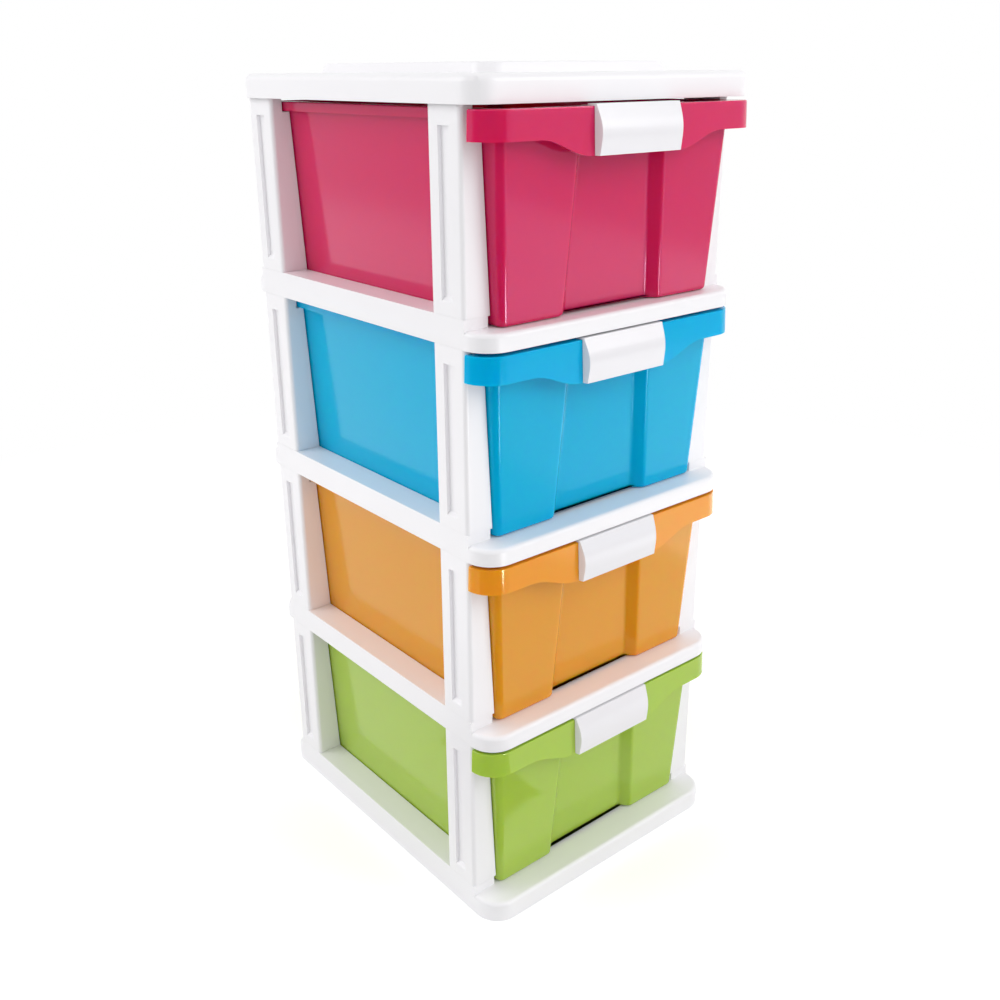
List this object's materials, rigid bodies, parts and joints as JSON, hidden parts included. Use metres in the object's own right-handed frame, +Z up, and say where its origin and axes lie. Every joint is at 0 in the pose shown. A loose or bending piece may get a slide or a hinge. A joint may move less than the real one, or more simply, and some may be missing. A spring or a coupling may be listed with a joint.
{
  "type": "plastic drawer tower",
  "caption": "Free-standing plastic drawer tower: trays on corner posts with a cover, and translucent pull-out drawers with clip-on handles.",
  "frame": {"origin": "on the floor under the middle of the tower's outer box", "axes": "+Z up; the drawers pull out towards -Y; +X to the right when facing the rear wall from the front"},
  "size_m": [0.31, 0.38, 0.758],
  "materials": {
    "white_frame": "satin moulded polypropylene",
    "white_handle": "gloss moulded polypropylene",
    "green_translucent": "gloss translucent polypropylene",
    "orange_translucent": "gloss translucent polypropylene",
    "blue_translucent": "gloss translucent polypropylene",
    "pink_translucent": "gloss translucent polypropylene"
  },
  "bodies": {
    "frame": {"base_tray": "white_frame", "lower_shelf": "white_frame", "middle_shelf": "white_frame", "upper_shelf": "white_frame", "top_cover": "white_frame", "bottom_front_left_post": "white_frame", "bottom_front_right_post": "white_frame", "bottom_rear_left_post": "white_frame", "bottom_rear_right_post": "white_frame", "lower_front_left_post": "white_frame", "lower_front_right_post": "white_frame", "lower_rear_left_post": "white_frame", "lower_rear_right_post": "white_frame", "upper_front_left_post": "white_frame", "upper_front_right_post": "white_frame", "upper_rear_left_post": "white_frame", "upper_rear_right_post": "white_frame", "top_front_left_post": "white_frame", "top_front_right_post": "white_frame", "top_rear_left_post": "white_frame", "top_rear_right_post": "white_frame"},
    "green_drawer": {"green_drawer_bin": "green_translucent", "green_drawer_handle": "white_handle"},
    "orange_drawer": {"orange_drawer_bin": "orange_translucent", "orange_drawer_handle": "white_handle"},
    "blue_drawer": {"blue_drawer_bin": "blue_translucent", "blue_drawer_handle": "white_handle"},
    "pink_drawer": {"pink_drawer_bin": "pink_translucent", "pink_drawer_handle": "white_handle"}
  },
  "joints": [
    {"name": "green_drawer_slide", "type": "slide", "parent": "frame", "child": "green_drawer", "axis": [0, -1, 0], "range_m": [0, 0.22]},
    {"name": "orange_drawer_slide", "type": "slide", "parent": "frame", "child": "orange_drawer", "axis": [0, -1, 0], "range_m": [0, 0.22]},
    {"name": "blue_drawer_slide", "type": "slide", "parent": "frame", "child": "blue_drawer", "axis": [0, -1, 0], "range_m": [0, 0.22]},
    {"name": "pink_drawer_slide", "type": "slide", "parent": "frame", "child": "pink_drawer", "axis": [0, -1, 0], "range_m": [-0.008, 0.212]}
  ]
}
